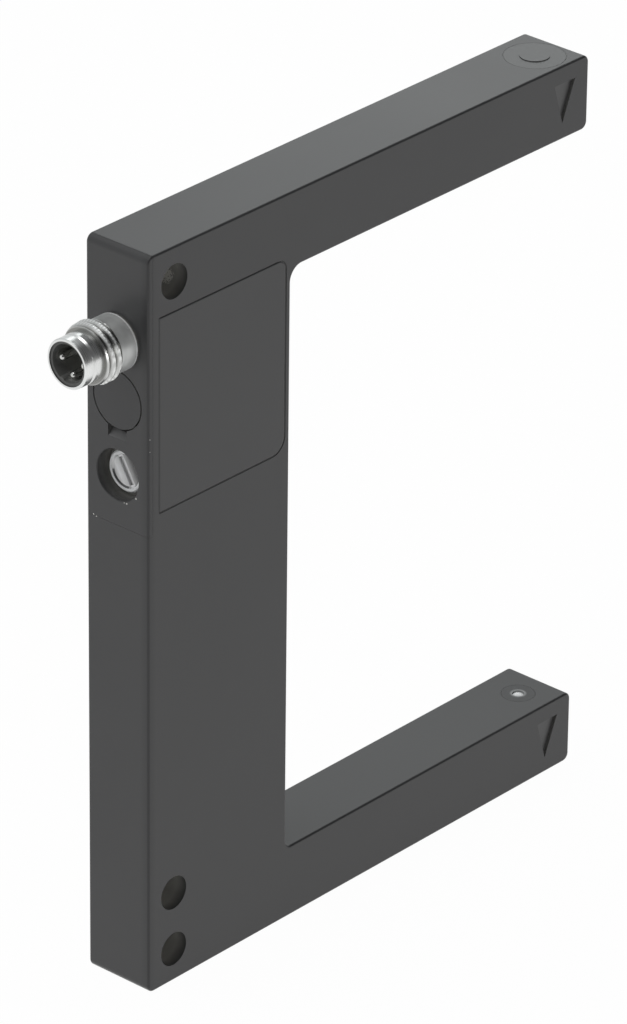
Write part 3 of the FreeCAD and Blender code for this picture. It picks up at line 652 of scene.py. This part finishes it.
def turned_metal(name, colour, roughness, metallic=1.0, clouds=(0.92, 1.04), groove=None):
    """Plated metal from a lathe; clouds are the darkest and the lightest shade of its colour."""
    finish, tree, shader = start_finish(name, Metallic=metallic)
    place = place_on_object(tree)
    squeeze = add_node(tree, "Mapping", {"Vector": place, "Scale": RING_SQUEEZE})
    lines = add_node(tree, "TexNoise", {"Vector": squeeze.outputs["Vector"], "Scale": 1.0, "Detail": 2.0})
    cloud = add_node(tree, "TexNoise", {"Vector": place, "Scale": 400.0, "Detail": 2.0})
    mixed = scaled_colour(tree, colour, span(tree, cloud.outputs["Fac"], 0.3, 0.7, *clouds))
    if groove:
        slanted = times(tree, slanting_lines(tree, place), SLANT_LINE_SHARE)
        mixed = mix_colours(tree, largest(tree, [in_grooves(tree, place), slanted]), mixed, groove)
    tree.links.new(mixed, shader.inputs["Base Color"])
    uneven_roughness(tree, shader, lines.outputs["Fac"], roughness, 0.06)
    uneven_skin(tree, shader, lines.outputs["Fac"], 0.5, 0.004)
    return finish


print("thread runs round Z", round(AXIS_Z, 2))

# %% Plated pieces
# Darker colour in the thread's grooves and along fine slanting lines.
GROOVE_DARK = (0.24, 0.24, 0.23, 1)
bright_nickel = turned_metal("bright_nickel", (0.76, 0.77, 0.76), 0.29)
thread_nickel = turned_metal("thread_nickel", (0.78, 0.79, 0.78), 0.28, groove=GROOVE_DARK)
satin_nickel = turned_metal("satin_nickel", (0.66, 0.67, 0.66), 0.42, metallic=0.6, clouds=(0.72, 1.12))
# Painted highlight: a near-white ring at the plate.
ring_nickel_painted_highlight = turned_metal("ring_nickel_painted_highlight", (0.98, 0.99, 0.98), 0.35, metallic=0.4)
paint(satin_nickel, "connector_shell", "connector_nut")
paint(turned_metal("contact_tin", (0.6, 0.6, 0.58), 0.1), "contact_pin_1", "contact_pin_3", "contact_pin_4")
paint(turned_metal("small_steel", (0.6, 0.6, 0.59), 0.3), "retaining_clip", "board_screws")

# %% [markdown]
# ## Clear pieces
#
# The sensitivity screw is clear plastic, because a status lamp shines through it. The lenses at the arm tips
# are clear plastic too, but here they are opaque and near white: partly the real moulding's milkiness and
# partly a painted highlight. Perfectly clear plastic over a black hole would look black, so the screw is made
# almost opaque, and its light and dark are painted into its colour below.

# %% Clear recipe
def clear_plastic(name, colour, clearness, roughness):
    finish, tree, shader = start_finish(name, Transmission_Weight=clearness, IOR=1.57, Roughness=roughness,
                                        Coat_Weight=0.3)
    place = place_on_object(tree)
    flow = add_node(tree, "TexNoise", {"Vector": place, "Scale": 700.0, "Detail": 2.0}).outputs["Fac"]
    tint = scaled_colour(tree, colour, span(tree, flow, 0.0, 1.0, 0.92, 1.05))
    tree.links.new(tint, shader.inputs["Base Color"])
    uneven_skin(tree, shader, flow, 0.2, 0.02)
    return finish


# Lenses: opaque near white, partly a milky lens and partly a painted highlight.
paint(clear_plastic("lens_clear", (0.95, 0.96, 0.96), 0.0, 0.35), "receiver_lens", "emitter_lens")
paint(clear_plastic("guide_clear", (0.9, 0.92, 0.92), 0.8, 0.1), "light_guide")

# %% [markdown]
# ## Clear screw
#
# The screw's clear head gathers light at its rim and bends the picture of the shaft behind it into light and
# dark streaks along the slot. Tracing that through a real lens shape takes many samples and comes out noisy.
# Here the streaks are a painted reflection, a ramp across the slot, and a painted highlight on the rim and
# one painted dark arc of shade inside it are found by radius.

# %% Streaks, rim and arc
SLOT_ANGLE = math.radians(59.0)
ACROSS_SLOT = Vector((0, -math.sin(SLOT_ANGLE), math.cos(SLOT_ANGLE)))
HEAD_HALF_WIDTH = 2.3
# Painted reflection: greys across the slot, for the shaft seen through the head.
PAINTED_STREAKS = [(0.0, 0.6), (0.22, 0.95), (0.37, 0.7), (0.42, 0.45), (0.46, 0.85), (0.5, 0.97), (0.58, 0.97),
           (0.63, 0.4), (0.8, 0.03), (1.0, 0.06)]
# Painted highlight on the rim, and a painted shadow arc inside it.
RIM_FROM = 2.2
RIM_FADE = 0.08
RIM_PAINTED_HIGHLIGHT = (0.88, 0.89, 0.89, 1)
ARC_TOWARDS = Vector((0, 0.537, -0.843))
ARC_RADIUS = 2.1
ARC_HALF_WIDTH = 0.11
ARC_END = 0.64
ARC_FULL = 0.72
ARC_PAINTED_SHADE = (0.08, 0.08, 0.082, 1)


def painted_slot_streaks(tree, flat):
    """Light and dark greys across the slot, from one side of the head to the other."""
    side = vector_of(tree, "DOT_PRODUCT", flat, ACROSS_SLOT)
    across = span(tree, side, -HEAD_HALF_WIDTH * MM, HEAD_HALF_WIDTH * MM)
    node = add_node(tree, "ValToRGB", {0: across})
    ramp = node.color_ramp
    for position, grey in PAINTED_STREAKS[1:-1]:
        ramp.elements.new(position).color = (grey, grey, grey, 1)
    for end, (_, grey) in ((0, PAINTED_STREAKS[0]), (len(ramp.elements) - 1, PAINTED_STREAKS[-1])):
        ramp.elements[end].color = (grey, grey, grey, 1)
    return node.outputs["Color"]


def on_dark_arc(tree, flat, radius):
    """1 on the arc of shadow just inside the rim."""
    outward = vector_of(tree, "NORMALIZE", flat)
    turned_there = span(tree, vector_of(tree, "DOT_PRODUCT", outward, ARC_TOWARDS), ARC_END, ARC_FULL)
    on_ring = math_of(tree, "COMPARE", radius, ARC_RADIUS * MM, ARC_HALF_WIDTH * MM)
    return times(tree, turned_there, on_ring)


print("streaks of the slot:", len(PAINTED_STREAKS))

# %% Dress the screw
screw_low, screw_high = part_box("adjuster")
screw_axis = (screw_low + screw_high) / 2
screw_axis.x = 0.0

screw_clear = clear_plastic("adjuster_clear", (0.9, 0.91, 0.91), 0.04, 0.2)
tree = screw_clear.node_tree
place = vector_of(tree, "SUBTRACT", place_on_object(tree), screw_axis)
flat = vector_of(tree, "MULTIPLY", place, (0, 1, 1))
radius = vector_of(tree, "LENGTH", flat)
on_rim = span(tree, radius, RIM_FROM * MM, (RIM_FROM + RIM_FADE) * MM)
colour = mix_colours(tree, on_rim, painted_slot_streaks(tree, flat), RIM_PAINTED_HIGHLIGHT)
colour = mix_colours(tree, on_dark_arc(tree, flat, radius), colour, ARC_PAINTED_SHADE)
tree.links.new(colour, tree.nodes["Principled BSDF"].inputs["Base Color"])
paint(screw_clear, "adjuster")

# %% [markdown]
# ## Thread of the connector
#
# The plug's ring screws onto a fine M8 thread, one millimetre from crest to crest. The solid has a plain
# cylinder there. A Screw modifier could sweep a tooth into a helix, but its ends would need trimming.
# Here a lathe's rings are drawn with a radius that also depends on the angle, so one surface holds collar,
# thread and sleeve, and the crests are capped by the same outline that the solid has. Each outline is a list
# of a distance out from the narrow face and a radius, in millimetres.

# %% Outline of the shell
BACK_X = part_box("connector_plate")[0].x / MM
SHELL_LENGTH = 8.6
THREAD_FROM = 2.9
THREAD_TO = 5.6
THREAD_PITCH = 1.0
FLANK_SLOPE = 2.6
GROOVE_FLOOR = 0.15

outline = [(0.0, 3.3), (0.3, 3.6), (THREAD_FROM, 3.6), (3.25, CREST_RADIUS), (4.6, CREST_RADIUS),
           (THREAD_TO, 3.65), (THREAD_TO, 3.2), (6.85, 3.2), (7.1, 3.0), (7.35, 3.2), (8.48, 3.2),
           (SHELL_LENGTH, 3.08)]
bore_outline = [(SHELL_LENGTH, 2.85), (1.0, 2.85), (1.0, 2.3), (0.0, 2.3)]


def outline_radius(out):
    """Radius of the outline at a distance out from the narrow face, both in millimetres."""
    for (x0, r0), (x1, r1) in zip(outline, outline[1:]):
        if x0 <= out < x1:
            return r0 + (r1 - r0) * (out - x0) / (x1 - x0)
    return outline[-1][1]


def shell_radius(out, angle):
    """The outline, with a right-hand groove cut into its threaded stretch."""
    limit = outline_radius(out)
    if not THREAD_FROM < out < THREAD_TO:
        return limit
    turn = (-out / THREAD_PITCH - angle / (2 * math.pi)) % 1.0
    flank = min(1.0, max(0.0, FLANK_SLOPE * abs(turn - 0.5) - GROOVE_FLOOR))
    return min(limit, CREST_RADIUS - THREAD_DEPTH * (1.0 - flank))


print("shell stands out", SHELL_LENGTH, "mm from X", round(BACK_X, 2))

# %% Rings of the lathe
RINGS_PER_MM = 24
POINTS_ROUND = 160


def ring_of_points(mesh, out, radius_at):
    """One ring: points round the connector's axis at a distance out from the narrow face."""
    points = []
    for i in range(POINTS_ROUND):
        angle = 2 * math.pi * i / POINTS_ROUND
        radius = radius_at(angle)
        place = Vector((BACK_X - out, radius * math.cos(angle), AXIS_Z + radius * math.sin(angle)))
        points.append(mesh.verts.new(place * MM))
    return points


def bridge(mesh, first, second):
    for i in range(POINTS_ROUND):
        j = (i + 1) % POINTS_ROUND
        mesh.faces.new((first[i], first[j], second[j], second[i]))


mesh = bmesh.new()
evenly = {round(i / RINGS_PER_MM, 4) for i in range(int(SHELL_LENGTH * RINGS_PER_MM) + 1)}
stations = sorted(evenly | {out for out, _ in outline})
rings = [ring_of_points(mesh, out, lambda angle, out=out: shell_radius(out, angle)) for out in stations]
rings += [ring_of_points(mesh, out, lambda angle, r=r: r) for out, r in bore_outline]
for first, second in zip(rings, rings[1:] + rings[:1]):
    bridge(mesh, first, second)
bmesh.ops.recalc_face_normals(mesh, faces=mesh.faces)
threaded_shell = bpy.data.objects.new("threaded_shell", bpy.data.meshes.new("threaded_shell"))
mesh.to_mesh(threaded_shell.data)
mesh.free()
bpy.context.scene.collection.objects.link(threaded_shell)
print("threaded shell:", len(threaded_shell.data.polygons), "faces")

# %% [markdown]
# ## Plating on the shell
#
# The shell is one turned piece, but its stretches look different. It could be cut into four objects, which
# would open seams between them. Four materials on one mesh keep the surface whole: each face takes its
# finish by its distance from the plate.

# %% Plate the shell
RING_TO = 0.55
SHARP_FROM = math.radians(28)

for metal in (ring_nickel_painted_highlight, satin_nickel, thread_nickel, bright_nickel):
    threaded_shell.data.materials.append(metal)
for face in threaded_shell.data.polygons:
    out = BACK_X - face.center.x / MM
    face.material_index = sum(out > limit for limit in (RING_TO, THREAD_FROM, THREAD_TO))
threaded_shell.data.shade_smooth()
threaded_shell.data.set_sharp_from_angle(angle=SHARP_FROM)
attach(threaded_shell, "sensor")
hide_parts("connector_shell")
print("finishes on the shell:", len(threaded_shell.data.materials))

# %% [markdown]
# ## Bead in the cover's seam
#
# The front cover lies flush in its pocket, and its gasket is squeezed a little way up the gap. So the seam of
# the real cover is a soft grey line and no black crack. A strip could be extruded along it. A curve with a
# round bevel is shorter to write, because it takes the four corner radii as plain arcs.

# %% Path of the seam
HALF_GAP = 0.04
SEAM_RADII = (0.34, 2.34, 1.54, 0.34)
CORNER_STEPS = 10


def rounded_outline(low, high, radii):
    """Points round a box seen along Y; radii go from the lower left corner against the clock."""
    signs = [(-1, -1), (1, -1), (1, 1), (-1, 1)]
    points = []
    for corner, ((side, end), radius) in enumerate(zip(signs, radii)):
        middle_x = (high.x if side > 0 else low.x) - side * radius
        middle_z = (high.z if end > 0 else low.z) - end * radius
        for step in range(CORNER_STEPS + 1):
            angle = math.pi * (1 + corner / 2) + math.pi / 2 * step / CORNER_STEPS
            points.append((middle_x + radius * math.cos(angle), middle_z + radius * math.sin(angle)))
    return points


cover_low, cover_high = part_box("front_cover")
gap = Vector((HALF_GAP, 0, HALF_GAP)) * MM
seam = rounded_outline(cover_low - gap, cover_high + gap, [r * MM for r in SEAM_RADII])
print("seam points:", len(seam))

# %% Sweep the bead
BEAD_RADIUS = 0.12
BEAD_DEPTH = 0.19

bead_line = bpy.data.curves.new("seam_bead", "CURVE")
bead_line.dimensions = "3D"
bead_line.bevel_depth = BEAD_RADIUS * MM
bead_line.bevel_resolution = 3
path = bead_line.splines.new("POLY")
path.points.add(len(seam) - 1)
for point, (x, z) in zip(path.points, seam):
    point.co = (x, cover_low.y + BEAD_DEPTH * MM, z, 1)
path.use_cyclic_u = True
seam_bead = bpy.data.objects.new("seam_bead", bead_line)
bpy.context.scene.collection.objects.link(seam_bead)
bead_line.materials.append(moulded("bead_rubber", (0.075, 0.075, 0.074), 0.6))
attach(seam_bead, "sensor")
print("bead radius:", BEAD_RADIUS, "mm")
